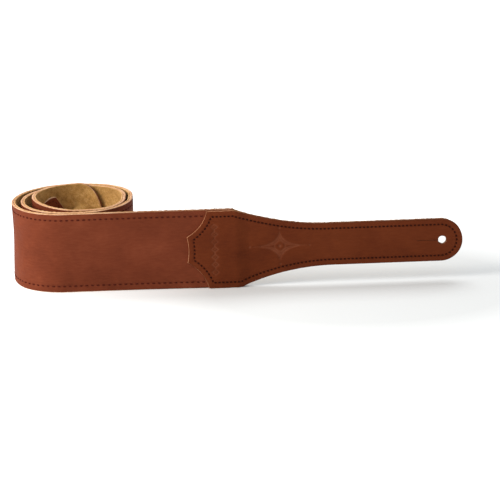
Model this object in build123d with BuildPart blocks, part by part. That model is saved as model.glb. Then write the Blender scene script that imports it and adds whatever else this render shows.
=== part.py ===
"""Leather guitar strap, rolled up and standing on its long edge, with its front tab laid out straight.

Frame: +Z up. +X runs along the straight front run towards the tip of the front tab, +Y away from the front face.
The origin is the bottom centre of the object's box, so everything stands on the plane Z = 0.

The strap is two layers sewn face to face, sanded leather outside and suede inside. The roll winds clockwise, seen
from above, from the straight run to the rear end, which has rounded corners and two slots. A narrow adjuster tail
passes through those slots and lies round the inside of the roll. Stand-in joints: the front run bends where it
leaves the roll, and the tail slides round through its slots.
"""

import os
from math import cos, radians, sin

from build123d import *

# ---- driving dimensions, millimetres and degrees ----
STRAP_WIDTH = 63.5
LEATHER = 2.0
SUEDE = 1.4
LINING_LIFT = 0.3  # linings end this far above the ground
SEAM_INSET = 5.0
THREAD_WIDTH = 0.8
THREAD_PROUD = 0.25

RUN_LENGTH = 309.5  # from the end of the roll's first bend to the tip of the tab
STRAP_END = 130.0  # same start, to the hidden end of the strap under the tab
BEND = 69.5  # same start, to the axis on which the front run bends
BEND_GAP = 2.1  # from that axis back to the cut end on the roll's side
THREAD_GAP = 2.6

TAB_SCALLOP = 93.3  # same start, to the two points of the scalloped edge
TAB_SHOULDER = 109.5  # where the scalloped edge meets the strap's edges
TAB_TAPER = 131.0  # where the tab starts to narrow at its top edge
TAB_TAPER_LATER = 5.0  # how much further on its bottom edge does
TAB_TAPER_LENGTH = 72.0
TAB_WIDTH = 34.4
TAB_SEAM_INSET = 4.6
EDGE_SEAM_END = 105.0  # same start, to where the edge seams meet the tab
STEP_LENGTH = 12.0  # over which the tab leather comes down off the strap's end
SCALLOP_HALF = 10.5
SCALLOP_RISE = 2.9
SCALLOP_MID_RISE = 1.3
HOLE_RADIUS = 3.175
HOLE_SHIFT = 1.2  # from the centre of the rounded tip towards the tip
SLIT_LENGTH = 20.0  # from the hole's centre
SLIT_WIDTH = 0.6

# Outer face of the roll, from the run inwards: (radius, turn) for a bend, (None, length) for a straight.
BEND_REACH = 45.0  # how far the roll reaches to the left of the run's start
ROLL_DEPTH = 97.5
CORE_RADIUS = 35.8
ROLL = [
    (43.35, 60),
    (55.65, 30),
    (52.1, 30),
    (43.9, 60),
    (None, 1.8),
    (70.0, 14),
    (41.0, 76),
    (None, 9.3),
    (38.8, 90),
    (None, 10.8),
    (37.35, 60),
    (46.65, 30),
    (46.95, 30),
    (39.05, 60),
    (None, 0.6),
    (60.0, 14),
    (36.0, 76),
    (None, 9.8),
    (29.6, 90),
    (None, 8.6),
    (CORE_RADIUS, 180),
]

# Angles round the core are counted clockwise from its back.
REAR_TURN = 38.0  # the strap's last stretch, which carries the slots
REAR_CORNER_X = 20.3  # the rounded rear corners, as they look from the front
REAR_CORNER_Z = 26.0
REAR_CORNER_START = -0.2
SLOT_LOW, SLOT_HIGH = 18.5, 45.0
SLOT_FROM, SLOT_TO = -14.0, 20.0
SLIT_ANGLE = 2.0  # width of each slot
BRIDGE_SHIFT = 7.4  # how far the bridge between the slots bows inwards to let the tail pass
BRIDGE_LOW, BRIDGE_HIGH = 21.0, 42.5

TAIL_RADIUS = 31.5  # outer face of the tail, which lies round the inside of the core
TAIL_LEATHER = 1.4
TAIL_LINING = 1.0
TAIL_LOW, TAIL_HIGH = 21.75, 41.75
TAIL_TAB_LOW, TAIL_TAB_HIGH = 22.3, 56.7
TAIL_TAB_MIDDLE = -52.0
TAIL_TAB_TIP = 10.7  # from the tab's middle to its tip
TAIL_NECK_FROM, TAIL_NECK_TO = 6.8, 17.7  # from the same middle, to the ends of its neck
TAIL_KEY_LENGTH = 11.0
TAIL_STRIP_FROM = -18.6  # where the plain strip starts, inside the neck
TAIL_END = 170.0
TAIL_END_VIEW = 150.0
TAIL_END_RADIUS = 8.0
TAIL_SEAM_INSET = 3.0
TAIL_SLITS = (60.0, 88.0, 116.0, 144.0)
TAIL_SLIT_TURN = 18.0
TAIL_SLIT_HEIGHT = 2.4

# ---- places that follow from them ----
THICKNESS = LEATHER + SUEDE
TAIL_THICKNESS = TAIL_LEATHER + TAIL_LINING
HALF_THREAD = THREAD_WIDTH / 2
BEND_X0 = (BEND_REACH - RUN_LENGTH) / 2  # start of the run, so that the box is centred on X = 0
FRONT_Y = (LEATHER - ROLL_DEPTH) / 2  # the run's outer face; the tab leather lies in front of it
MID_Z = STRAP_WIDTH / 2
BEND_X = BEND_X0 + BEND
BACK_Y = FRONT_Y + THICKNESS
STRAP_END_X = BEND_X0 + STRAP_END
SCALLOP_X = BEND_X0 + TAB_SCALLOP
SHOULDER_X = BEND_X0 + TAB_SHOULDER
TAPER_X = BEND_X0 + TAB_TAPER
TIP_X = BEND_X0 + RUN_LENGTH
TIP_CENTRE_X = TIP_X - TAB_WIDTH / 2
HOLE_X = TIP_CENTRE_X + HOLE_SHIFT
PARTS = "parts"


def follow(start, heading, legs):
    """The legs of a right-turning path: ("line", start, end, heading) or ("arc", centre, radius, from, turn)."""
    x, y = start
    path = []
    for radius, amount in legs:
        if radius is None:
            end = (x + amount * cos(radians(heading)), y + amount * sin(radians(heading)))
            path.append(("line", (x, y), end, heading))
            x, y = end
            continue
        centre = (x + radius * sin(radians(heading)), y - radius * cos(radians(heading)))
        path.append(("arc", centre, radius, heading + 90, amount))
        heading -= amount
        x = centre[0] - radius * sin(radians(heading))
        y = centre[1] + radius * cos(radians(heading))
    return path, (x, y)


def ends_at(leg, depth):
    """First and last point of a leg, moved inwards by depth."""
    if leg[0] == "line":
        _, first, last, heading = leg
        shift = (depth * sin(radians(heading)), -depth * cos(radians(heading)))
        return [(p[0] + shift[0], p[1] + shift[1]) for p in (first, last)]
    _, centre, radius, angle, turn = leg
    r = radius - depth
    return [(centre[0] + r * cos(radians(a)), centre[1] + r * sin(radians(a))) for a in (angle, angle - turn)]


def draw(leg, depth):
    """Draws one leg at that depth in the line being built."""
    if leg[0] == "line":
        Line(*ends_at(leg, depth))
    else:
        _, centre, radius, angle, turn = leg
        CenterArc(centre, radius - depth, angle, -turn)


def wall(path, outer, inner, low, high):
    """The upright wall between two depths of a path, from low to high."""
    with BuildPart() as upright:
        with BuildSketch(Plane.XY.offset(low)):
            with BuildLine():
                for leg in path:
                    draw(leg, outer)
                    draw(leg, inner)
                Line(ends_at(path[0], outer)[0], ends_at(path[0], inner)[0])
                Line(ends_at(path[-1], outer)[1], ends_at(path[-1], inner)[1])
            make_face()
        extrude(amount=high - low)
    return upright.part


def save(part, name):
    part.label = name
    export_step(part, os.path.join(PARTS, f"{name}.step"))


os.makedirs(PARTS, exist_ok=True)

# ---- the roll's path: the stretch of the run that stays with it, the bends, and the rear end ----
roll_path, core_back = follow((BEND_X - BEND_GAP, FRONT_Y), 180, [(None, BEND - BEND_GAP), *ROLL])
seam_path, _ = follow((BEND_X - THREAD_GAP, FRONT_Y), 180, [(None, BEND - THREAD_GAP), *ROLL])
rear_path, _ = follow(core_back, 0, [(CORE_RADIUS, REAR_TURN)])
CORE = (core_back[0], core_back[1] - CORE_RADIUS)
CORE_AXIS = Axis((*CORE, 0), (0, 0, -1))


def round_core(radius, start, end):
    """A one-leg path round the core, from one angle to another."""
    return [("arc", CORE, radius, 90 - start, end - start)]


def facing(angle):
    """The upright plane through the core's axis that looks out at that angle. Its x runs counter-clockwise."""
    out = radians(90 - angle)
    return Plane(origin=(*CORE, 0), x_dir=(-sin(out), cos(out), 0), z_dir=(cos(out), sin(out), 0))


def section(angle):
    """The upright half-plane from the core's axis out at that angle. Its x runs outwards."""
    out = radians(90 - angle)
    return Plane(origin=(*CORE, 0), x_dir=(cos(out), sin(out), 0), z_dir=(sin(out), -cos(out), 0))


# ---- the strap in the roll ----
def rear_outline(inset):
    """The rear end as it looks from the front, drawn in from its edge by inset."""
    corner_x = CORE[0] + REAR_CORNER_START
    half_flat = MID_Z - REAR_CORNER_Z
    reach = REAR_CORNER_X - inset
    with Locations((corner_x - 20, MID_Z)):
        Rectangle(40, STRAP_WIDTH - 2 * inset)
    with Locations((corner_x + reach / 2, MID_Z)):
        Rectangle(reach, 2 * half_flat)
    with Locations((corner_x, MID_Z - half_flat), (corner_x, MID_Z + half_flat)):
        Ellipse(reach, REAR_CORNER_Z - inset)


def rear_end(outer, inner, low):
    """One layer of the rear end, with its rounded corners."""
    square_end = wall(rear_path, outer, inner, low, STRAP_WIDTH)
    with BuildPart() as end:
        add(square_end)
        with BuildSketch(Plane.XZ):
            rear_outline(0)
        extrude(amount=STRAP_WIDTH, both=True, mode=Mode.INTERSECT)
    return end.part


def bridge_points(depth):
    """The bridge's section at that depth: (distance from the core's axis, height), from the low edge up."""
    at_wall = CORE_RADIUS - depth
    bowed = at_wall - BRIDGE_SHIFT
    lean = depth * 0.35  # the inner face bends lower down, and straightens higher up
    return [
        (at_wall, SLOT_LOW - 0.5),
        (at_wall, SLOT_LOW + 1.0 - lean),
        (bowed, BRIDGE_LOW - lean),
        (bowed, BRIDGE_HIGH + lean),
        (at_wall, SLOT_HIGH - 1.0 + lean),
        (at_wall, SLOT_HIGH + 0.5),
    ]


def strap_layer(outer, inner, low, name):
    """One layer of the strap in the roll: the wall, its slots, and the bridge bowed inwards between them."""
    coil = wall(roll_path, outer, inner, low, STRAP_WIDTH)
    end = rear_end(outer, inner, low)
    slots = wall(round_core(CORE_RADIUS, SLOT_FROM, SLOT_TO), outer - 0.5, inner + 0.5, SLOT_LOW, SLOT_HIGH)
    with BuildPart() as layer:
        add(coil)
        add(end)
        add(slots, mode=Mode.SUBTRACT)
        with BuildSketch(section(SLOT_FROM + SLIT_ANGLE)):
            with BuildLine():
                Polyline(*bridge_points(outer))
                Polyline(*bridge_points(inner))
                Line(bridge_points(outer)[0], bridge_points(inner)[0])
                Line(bridge_points(outer)[-1], bridge_points(inner)[-1])
            make_face()
        revolve(axis=CORE_AXIS, revolution_arc=SLOT_TO - SLOT_FROM - 2 * SLIT_ANGLE)
    save(layer.part, name)


strap_layer(0, LEATHER, 0, "strap_leather_roll")
strap_layer(LEATHER, THICKNESS, LINING_LIFT, "strap_suede_roll")


def seam_in_roll(outer, inner, name):
    """The thread along both edges of the strap in the roll, joined round the rear end."""
    low_z, high_z = SEAM_INSET - HALF_THREAD, STRAP_WIDTH - SEAM_INSET - HALF_THREAD
    low_run = wall(seam_path, outer, inner, low_z, low_z + THREAD_WIDTH)
    high_run = wall(seam_path, outer, inner, high_z, high_z + THREAD_WIDTH)
    rear_shell = wall(rear_path, outer, inner, 0, STRAP_WIDTH)
    with BuildPart() as rear:
        add(rear_shell)
        with BuildSketch(Plane.XZ):
            rear_outline(SEAM_INSET - HALF_THREAD)
        extrude(amount=STRAP_WIDTH, both=True, mode=Mode.INTERSECT)
        with BuildSketch(Plane.XZ):
            rear_outline(SEAM_INSET + HALF_THREAD)
        extrude(amount=STRAP_WIDTH, both=True, mode=Mode.SUBTRACT)
    with BuildPart() as thread:
        add([low_run, high_run, rear.part])
    save(thread.part, name)


seam_in_roll(-THREAD_PROUD, 0, "edge_seam_needle_thread_roll")
seam_in_roll(THICKNESS, THICKNESS + THREAD_PROUD, "edge_seam_bobbin_thread_roll")


# ---- the front run: the strap up to its hidden end, and the tab sewn over it ----
def front_plane(y):
    """The upright plane at that Y, looking to the front: its x is +X and its y is +Z."""
    return Plane.XZ.offset(-y)


def tab_outline():
    """The tab as it looks from the front."""
    half, narrow = STRAP_WIDTH / 2, TAB_WIDTH / 2
    with BuildSketch(Plane.XZ) as outline:
        with BuildLine():
            for side in (-1, 1):
                shoulder = (SHOULDER_X, MID_Z + side * half)
                taper_x = TAPER_X if side > 0 else TAPER_X + TAB_TAPER_LATER
                taper = (taper_x, MID_Z + side * half)
                slim = (taper_x + TAB_TAPER_LENGTH, MID_Z + side * narrow)
                SagittaArc(shoulder, (SCALLOP_X, MID_Z + side * SCALLOP_HALF), side * SCALLOP_RISE)
                Line(shoulder, taper)
                TangentArc(slim, taper, tangent=(-1, 0))
                Line(slim, (TIP_CENTRE_X, MID_Z + side * narrow))
            SagittaArc((SCALLOP_X, MID_Z + SCALLOP_HALF), (SCALLOP_X, MID_Z - SCALLOP_HALF), SCALLOP_MID_RISE)
            CenterArc((TIP_CENTRE_X, MID_Z), narrow, -90, 180)
        make_face()
    return outline.sketch


def button_cut():
    """The button hole and its slit, as they look from the front."""
    with BuildSketch(Plane.XZ) as cut:
        with Locations((HOLE_X, MID_Z)):
            Circle(HOLE_RADIUS)
        with Locations((HOLE_X - SLIT_LENGTH / 2, MID_Z)):
            Rectangle(SLIT_LENGTH, SLIT_WIDTH)
    return cut.sketch


def stepped(outer, inner):
    """Everything between two depths in front of the strap, stepping back by one leather beyond the strap's end."""
    step_x = (STRAP_END_X + 1.0, STRAP_END_X + 1.0 + STEP_LENGTH)
    with BuildPart() as slab:
        with BuildSketch():
            with BuildLine():
                for depth in (outer, inner):
                    y = FRONT_Y + depth
                    middle = (sum(step_x) / 2, y + LEATHER / 2)
                    Line((BEND_X, y), (step_x[0], y))
                    TangentArc((step_x[0], y), middle, tangent=(1, 0))
                    TangentArc((step_x[1], y + LEATHER), middle, tangent=(-1, 0))
                    Line((step_x[1], y + LEATHER), (TIP_X + 1, y + LEATHER))
                Line((BEND_X, FRONT_Y + outer), (BEND_X, FRONT_Y + inner))
                Line((TIP_X + 1, FRONT_Y + LEATHER + outer), (TIP_X + 1, FRONT_Y + LEATHER + inner))
            make_face()
        extrude(amount=STRAP_WIDTH)
    return slab.part


def knuckle(depth_from, depth_to, low):
    """The rounded end of one layer of the run: its share of a cylinder round the bending axis."""
    with BuildPart() as end:
        with BuildSketch(Plane.XY.offset(low)):
            with Locations((BEND_X, FRONT_Y + THICKNESS / 2)):
                Circle(THICKNESS / 2)
            with Locations((BEND_X - THICKNESS / 2, FRONT_Y + (depth_from + depth_to) / 2)):
                Rectangle(THICKNESS, depth_to - depth_from, mode=Mode.INTERSECT)
        extrude(amount=STRAP_WIDTH - low)
    return end.part


tab_face = tab_outline()
button_face = button_cut()

leather_end = knuckle(0, LEATHER, 0)
with BuildPart() as strap_leather_run:
    add(leather_end)
    with Locations((BEND_X, FRONT_Y, 0)):
        Box(STRAP_END_X - BEND_X, LEATHER, STRAP_WIDTH, align=(Align.MIN,) * 3)
save(strap_leather_run.part, "strap_leather_run")

# The suede runs on behind the tab as its lining, cut to the same outline.
suede_end = knuckle(LEATHER, THICKNESS, LINING_LIFT)
with BuildPart() as strap_suede_run:
    add(suede_end)
    with Locations((BEND_X, FRONT_Y + LEATHER, LINING_LIFT)):
        Box(STRAP_END_X - BEND_X, SUEDE, STRAP_WIDTH - LINING_LIFT, align=(Align.MIN,) * 3)
    with BuildSketch(front_plane(FRONT_Y + THICKNESS)):
        add(tab_face)
        with Locations((0, LINING_LIFT / 2)):
            Rectangle(2 * TIP_X, LINING_LIFT, mode=Mode.SUBTRACT)
    extrude(amount=SUEDE)
    with BuildSketch(front_plane(FRONT_Y + THICKNESS + 1)):
        add(button_face)
    extrude(amount=SUEDE + 2, mode=Mode.SUBTRACT)
save(strap_suede_run.part, "strap_suede_run")

tab_slab = stepped(-LEATHER, 0)
with BuildPart() as front_tab_leather:
    add(tab_slab)
    with BuildSketch(front_plane(0)):
        add(tab_face)
        add(button_face, mode=Mode.SUBTRACT)
    extrude(amount=-2 * FRONT_Y, mode=Mode.INTERSECT)
save(front_tab_leather.part, "front_tab_leather")

with BuildSketch(Plane.XZ) as tab_seam:
    add(tab_face)
    offset(amount=HALF_THREAD - TAB_SEAM_INSET, kind=Kind.INTERSECTION, mode=Mode.REPLACE)
with BuildSketch(Plane.XZ) as inside_tab_seam:
    add(tab_face)
    offset(amount=-HALF_THREAD - TAB_SEAM_INSET, kind=Kind.INTERSECTION, mode=Mode.REPLACE)

needle_slab = stepped(-LEATHER - THREAD_PROUD, -LEATHER)
with BuildPart() as tab_seam_needle_thread:
    add(needle_slab)
    with BuildSketch(front_plane(0)):
        add(tab_seam.sketch)
        add(inside_tab_seam.sketch, mode=Mode.SUBTRACT)
    extrude(amount=-2 * FRONT_Y, mode=Mode.INTERSECT)
save(tab_seam_needle_thread.part, "tab_seam_needle_thread")

with BuildPart() as tab_seam_bobbin_thread:
    with BuildSketch(front_plane(BACK_Y + THREAD_PROUD)):
        add(tab_seam.sketch)
        add(inside_tab_seam.sketch, mode=Mode.SUBTRACT)
    extrude(amount=THREAD_PROUD)
save(tab_seam_bobbin_thread.part, "tab_seam_bobbin_thread")

for edge, z in (("low", SEAM_INSET), ("high", STRAP_WIDTH - SEAM_INSET)):
    for kind, y in (("needle", FRONT_Y - THREAD_PROUD), ("bobbin", BACK_Y)):
        with BuildPart() as edge_thread:
            with Locations((BEND_X + THREAD_GAP, y, z - HALF_THREAD)):
                Box(EDGE_SEAM_END - BEND - THREAD_GAP, THREAD_PROUD, THREAD_WIDTH, align=(Align.MIN,) * 3)
        save(edge_thread.part, f"edge_seam_{kind}_thread_run_{edge}")


# ---- the adjuster tail ----
def tail_tab(inset):
    """The tail's wide end and neck, as they look from the core, drawn in from the edge by inset."""
    middle_z = (TAIL_TAB_LOW + TAIL_TAB_HIGH) / 2
    radius = (TAIL_TAB_HIGH - TAIL_TAB_LOW) / 2
    centre = TAIL_TAB_TIP - radius
    with BuildSketch() as face:
        with BuildLine():
            Polyline((centre, TAIL_TAB_HIGH - inset), (-TAIL_NECK_FROM, TAIL_TAB_HIGH - inset),
                     (-TAIL_NECK_TO, TAIL_HIGH - inset), (-TAIL_RADIUS, TAIL_HIGH - inset),
                     (-TAIL_RADIUS, TAIL_LOW + inset), (-TAIL_NECK_TO, TAIL_LOW + inset),
                     (-TAIL_NECK_FROM, TAIL_TAB_LOW + inset), (centre, TAIL_TAB_LOW + inset))
            CenterArc((centre, middle_z), radius - inset, -90, 180)
        make_face()
    return face.sketch


def tail_point(inset):
    """The tail's plain end, as it looks from the core."""
    reach = TAIL_RADIUS * sin(radians(TAIL_END - TAIL_END_VIEW))
    with BuildSketch() as face:
        with Locations(((TAIL_RADIUS - reach) / 2, (TAIL_LOW + TAIL_HIGH) / 2)):
            RectangleRounded(TAIL_RADIUS + reach - 2 * inset, TAIL_HIGH - TAIL_LOW - 2 * inset, TAIL_END_RADIUS - inset)
    return face.sketch


def tail_band(outer, inner, inset, width=None):
    """One layer of the tail between two radii: the whole of it, or the line of a seam of that width."""
    def shape(radius_out, radius_in, edge):
        strip_from, strip_to = TAIL_STRIP_FROM, TAIL_END_VIEW
        strip = wall(round_core(radius_out, strip_from, strip_to), 0, radius_out - radius_in,
                     TAIL_LOW + edge, TAIL_HIGH - edge)
        pieces = [strip]
        for view, face, start, end in (
            (TAIL_TAB_MIDDLE, tail_tab(edge), TAIL_TAB_MIDDLE - 60, strip_from),
            (TAIL_END_VIEW, tail_point(edge), strip_to, TAIL_END + 5),
        ):
            shell = wall(round_core(radius_out, start, end), 0, radius_out - radius_in, 0, STRAP_WIDTH)
            with BuildPart() as piece:
                add(shell)
                with BuildSketch(facing(view)):
                    add(face)
                extrude(amount=TAIL_RADIUS + 5, mode=Mode.INTERSECT)
            pieces.append(piece.part)
        with BuildPart() as whole:
            add(pieces)
        return whole.part

    outside = shape(outer, inner, inset)
    if width is None:
        return outside
    inside = shape(outer + 1, inner - 1, inset + width)
    with BuildPart() as line:
        add(outside)
        add(inside, mode=Mode.SUBTRACT)
    return line.part


def tail_cuts():
    """The button hole in the tail's wide end and the slits along its strip."""
    middle_z = (TAIL_TAB_LOW + TAIL_TAB_HIGH) / 2
    slit_low = (TAIL_LOW + TAIL_HIGH - TAIL_SLIT_HEIGHT) / 2
    slits = [
        wall(round_core(TAIL_RADIUS + 1, angle - TAIL_SLIT_TURN / 2, angle + TAIL_SLIT_TURN / 2),
             0, TAIL_THICKNESS + 2, slit_low, slit_low + TAIL_SLIT_HEIGHT)
        for angle in TAIL_SLITS
    ]
    with BuildPart() as cuts:
        add(slits)
        with BuildSketch(facing(TAIL_TAB_MIDDLE).offset(TAIL_RADIUS - 10)):
            with Locations((0, middle_z)):
                Circle(HOLE_RADIUS)
            with Locations((-TAIL_KEY_LENGTH / 2, middle_z)):
                Rectangle(TAIL_KEY_LENGTH, SLIT_WIDTH)
        extrude(amount=12)
    return cuts.part


cuts = tail_cuts()
between = TAIL_RADIUS - TAIL_LINING
for name, outer, inner in (
    ("tail_lining", TAIL_RADIUS, between),
    ("tail_leather", between, TAIL_RADIUS - TAIL_THICKNESS),
):
    band = tail_band(outer, inner, 0)
    with BuildPart() as layer:
        add(band)
        add(cuts, mode=Mode.SUBTRACT)
    save(layer.part, name)

for name, outer, inner in (
    ("tail_seam_bobbin_thread", TAIL_RADIUS + THREAD_PROUD, TAIL_RADIUS),
    ("tail_seam_needle_thread", TAIL_RADIUS - TAIL_THICKNESS, TAIL_RADIUS - TAIL_THICKNESS - THREAD_PROUD),
):
    save(tail_band(outer, inner, TAIL_SEAM_INSET - HALF_THREAD, THREAD_WIDTH), name)
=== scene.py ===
"""Leather guitar strap, rolled up on its edge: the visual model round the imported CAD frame. Metres, +Z up."""

import math
import bmesh
import bpy
import numpy as np
from mathutils import Matrix, Vector


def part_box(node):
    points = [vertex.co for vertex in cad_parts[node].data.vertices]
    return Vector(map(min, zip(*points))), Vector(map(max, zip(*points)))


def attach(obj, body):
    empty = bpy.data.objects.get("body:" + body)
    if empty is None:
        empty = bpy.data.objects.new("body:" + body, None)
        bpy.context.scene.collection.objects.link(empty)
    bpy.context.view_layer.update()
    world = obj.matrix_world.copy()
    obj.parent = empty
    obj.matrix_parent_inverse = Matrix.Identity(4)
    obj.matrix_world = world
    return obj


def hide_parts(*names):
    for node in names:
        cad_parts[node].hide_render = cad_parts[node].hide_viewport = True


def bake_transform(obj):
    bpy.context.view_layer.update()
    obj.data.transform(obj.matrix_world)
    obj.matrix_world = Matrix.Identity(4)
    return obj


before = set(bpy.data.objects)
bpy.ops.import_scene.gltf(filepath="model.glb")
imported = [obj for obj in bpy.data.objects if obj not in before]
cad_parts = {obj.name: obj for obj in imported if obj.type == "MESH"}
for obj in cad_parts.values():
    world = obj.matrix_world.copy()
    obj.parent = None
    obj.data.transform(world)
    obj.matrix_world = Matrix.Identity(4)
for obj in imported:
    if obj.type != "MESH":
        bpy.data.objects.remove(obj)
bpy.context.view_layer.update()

MM = 0.001
WIDTH = 63.5
MID = WIDTH / 2
LEATHER, SUEDE = 2.0, 1.4
THICK = LEATHER + SUEDE
APART = 0.02  # between sewn layers, so that they share no face
rng = np.random.default_rng(7)

# ---- the strap's path, in millimetres, as the CAD has it ----
BEND_REACH, CORE = 45.0, 35.8
ROLL = [
    (43.35, 60), (55.65, 30), (52.1, 30), (43.9, 60), (None, 1.8), (70.0, 14), (41.0, 76), (None, 9.3),
    (38.8, 90), (None, 10.8), (37.35, 60), (46.65, 30), (46.95, 30), (39.05, 60), (None, 0.6), (60.0, 14),
    (36.0, 76), (None, 9.8), (29.6, 90), (None, 8.6), (CORE, 180), (CORE, 38.0),
]
RUN, STRAP_END, BEND = 309.5, 130.0, 69.5
X0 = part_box("strap_leather_roll")[0][0] / MM + BEND_REACH  # where the straight run starts
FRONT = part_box("strap_leather_run")[0][1] / MM  # Y of the run's leather face
SCALLOP, SHOULDER, TAPER, TAPER_LENGTH = 93.3, 109.5, 131.0, 72.0
TAPER_LATER = 5.0  # the bottom edge starts to narrow this much later
NARROW = 17.2
TIP_AT = RUN - NARROW  # centre of the rounded tip
HOLE_AT, HOLE_R, SLIT = TIP_AT + 1.2, 3.175, 20.0
STEP_AT, STEP_LENGTH = STRAP_END + 1.0, 12.0
SCALLOP_HALF, SCALLOP_RISE, SCALLOP_MIDDLE_RISE = 10.5, 2.9, 1.3
REAR_CORNER_X, REAR_CORNER_Z, REAR_CORNER_START = 20.3, 26.0, -0.2
TAB_INSET, EDGE_INSET = 4.6, 5.0

# ---- what the look adds to the CAD's plain shape ----
SHORT = 0.8  # how far the tab's top edge sits below the strap's
FLARE, FLARE_TOP = 2.6, 58.0  # how far the outer lap's foot spreads, and the height where that ends
SLID_UP, SLID_FROM, SLID_OVER = 3.2, 47.0, 14.0  # how the innermost lap's top has slid
CLOSER, CLOSER_CORE, CLOSER_OVER = 2.4, 5.2, 0.13  # how much nearer the inner laps lie, in mm
BOW, BOW_AT, BOW_OVER = 1.6, 118.0, 42.0  # the run's bow at the tab's root
WAVE = 0.35  # how far the laps wander


def legs_table():
    """The legs of the roll: (start, length, radius, x, y, heading, turned), and the length of them all.

    start counts from the run into the roll. x, y is an arc's centre, or where a straight leg starts.
    """
    x, y, heading, s, table, turned = X0, FRONT, math.pi, 0.0, [], 0.0
    for radius, amount in ROLL:
        if radius is None:
            table.append((s, amount, None, x, y, heading, turned))
            x, y, s = x + amount * math.cos(heading), y + amount * math.sin(heading), s + amount
            continue
        turn = math.radians(amount)
        cx, cy = x + radius * math.sin(heading), y - radius * math.cos(heading)
        table.append((s, radius * turn, radius, cx, cy, heading, turned))
        heading, turned, s = heading - turn, turned + turn, s + radius * turn
        x, y = cx - radius * math.sin(heading), cy + radius * math.cos(heading)
    return table, s


LEGS, ROLLED = legs_table()
CORE_C = (LEGS[-1][3], LEGS[-1][4])
CORE_S = LEGS[-1][0]  # how far into the roll the core's back is


def smooth(t):
    t = np.clip(t, 0, 1)
    return t * t * (3 - 2 * t)


def ripple(a, b, seed):
    """A smooth, repeatable wobble of two coordinates, about -1 to 1."""
    r = np.random.default_rng(seed)
    out = np.zeros(np.broadcast(a, b).shape)
    for k in range(5):
        f = 0.6 + 0.55 * k
        wave_a = np.sin(a * f * r.uniform(0.6, 1.2) + r.uniform(0, 6.3))
        out += wave_a * np.cos(b * f * r.uniform(0.6, 1.2) + r.uniform(0, 6.3))
    return out / 2.5


def place(s, depth, z):
    """Points of the strap, s along it (positive out along the run, negative into the roll), in metres."""
    s, depth, z = np.broadcast_arrays(np.asarray(s, float), np.asarray(depth, float), np.asarray(z, float))
    x, y = X0 + s, FRONT + depth
    turned = np.zeros(s.shape)
    nx, ny = np.zeros(s.shape), -np.ones(s.shape)
    inside = -s
    for start, length, radius, a, b, heading, before in LEGS:
        last = start + length >= ROLLED - 1e-6
        here = (inside > start) & ((inside <= start + length) | last)
        if radius is None:
            t = inside - start
            px, py, h = a + t * math.cos(heading), b + t * math.sin(heading), np.full(s.shape, heading)
            lx, ly = px + depth * math.sin(heading), py - depth * math.cos(heading)
        else:
            h = heading - (inside - start) / radius
            lx, ly = a - (radius - depth) * np.sin(h), b + (radius - depth) * np.cos(h)
        x, y = np.where(here, lx, x), np.where(here, ly, y)
        nx, ny = np.where(here, -np.sin(h), nx), np.where(here, np.cos(h), ny)
        turned = np.where(here, before + (heading - h if radius else 0.0), turned)
    lap = turned / (2 * math.pi)
    # Nothing is dead straight: the outer lap flares at its foot, every lap leans out a little at the top,
    # and the top of the innermost one has slid up.
    lean = np.interp(lap, [0, 0.12, 0.25, 0.4, 0.6, 1.1, 1.6, 2.2, 2.6],
                     [0, 0.8, 1.3, 0.7, 0.6, 0.5, 0.6, 0.3, 0.0])
    flare = np.interp(lap, [0, 0.15, 0.3, 0.5], [0, FLARE, FLARE, 0])
    slid = np.interp(lap, [2.0, 2.22, 2.7], [0, 0.875 * SLID_UP, SLID_UP]) * (s < 0)
    z = z + slid * smooth((z - SLID_FROM) / SLID_OVER)
    rise = smooth((z - 26) / 40)
    wave = WAVE * ripple(s / 22, z / 30, 3) * smooth(np.abs(s - 20) / 30) * smooth((BEND + 60 - s) / 60)
    wave = wave * np.interp(lap, [1.85, 2.05], [1.0, 0.25])  # the tail needs its room round the innermost lap
    wave = np.where(s < 0, wave * (0.3 + 0.7 * smooth(z / 20)), 0.0)
    out = lean * rise + flare * (1 - smooth(z / FLARE_TOP)) + wave
    # The inner laps lie closer to the outer one at the front, and the run bows a little at the tab's root.
    out = out + CLOSER * np.exp(-(((lap - 0.97) / CLOSER_OVER) ** 2))
    out = out + CLOSER_CORE * np.exp(-(((lap - 1.97) / CLOSER_OVER) ** 2))
    out = out + BOW * np.exp(-(((s - BOW_AT) / BOW_OVER) ** 2))
    return np.stack([(x + nx * out) * MM, (y + ny * out) * MM, z * MM], -1)


# ---- outlines ----
def tab_half(s, v=1.0):
    """Half the width of the tab, or of its suede, at s, above the middle for v > 0 and below it otherwise."""
    radius = (TAPER_LENGTH**2 + (MID - NARROW) ** 2) / (2 * (MID - NARROW))
    taper = TAPER + np.where(np.asarray(v) > 0, 0.0, TAPER_LATER)
    back = np.clip(taper + TAPER_LENGTH - s, 0, TAPER_LENGTH)
    half = NARROW + radius - np.sqrt(radius**2 - back**2)
    tip = np.clip(s - TIP_AT, 0, NARROW)
    return np.where(s < taper, MID, np.where(s > TIP_AT, np.sqrt(np.maximum(NARROW**2 - tip**2, 0)), half))


def set_low(s, z):
    """The tab's top edge was cut a little short: it sits below the strap's edge, up to the taper."""
    return z - SHORT * (1 - smooth((s - STRAP_END) / 34)) * smooth((z - MID - 6) / (MID - 6))


def bulge(a, b, rise, n):
    """n points of the arc from a to b that bulges by rise to the right."""
    a, b = np.array(a, float), np.array(b, float)
    chord = np.linalg.norm(b - a)
    along, across = (b - a) / chord, np.array([(b - a)[1], -(b - a)[0]]) / chord
    radius = (chord**2 / 4 + rise**2) / (2 * rise)
    half = math.asin(chord / 2 / radius)
    t = np.linspace(-half, half, n)[:, None]
    return (a + b) / 2 + along * radius * np.sin(t) + across * (rise - radius * (1 - np.cos(t)))


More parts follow.
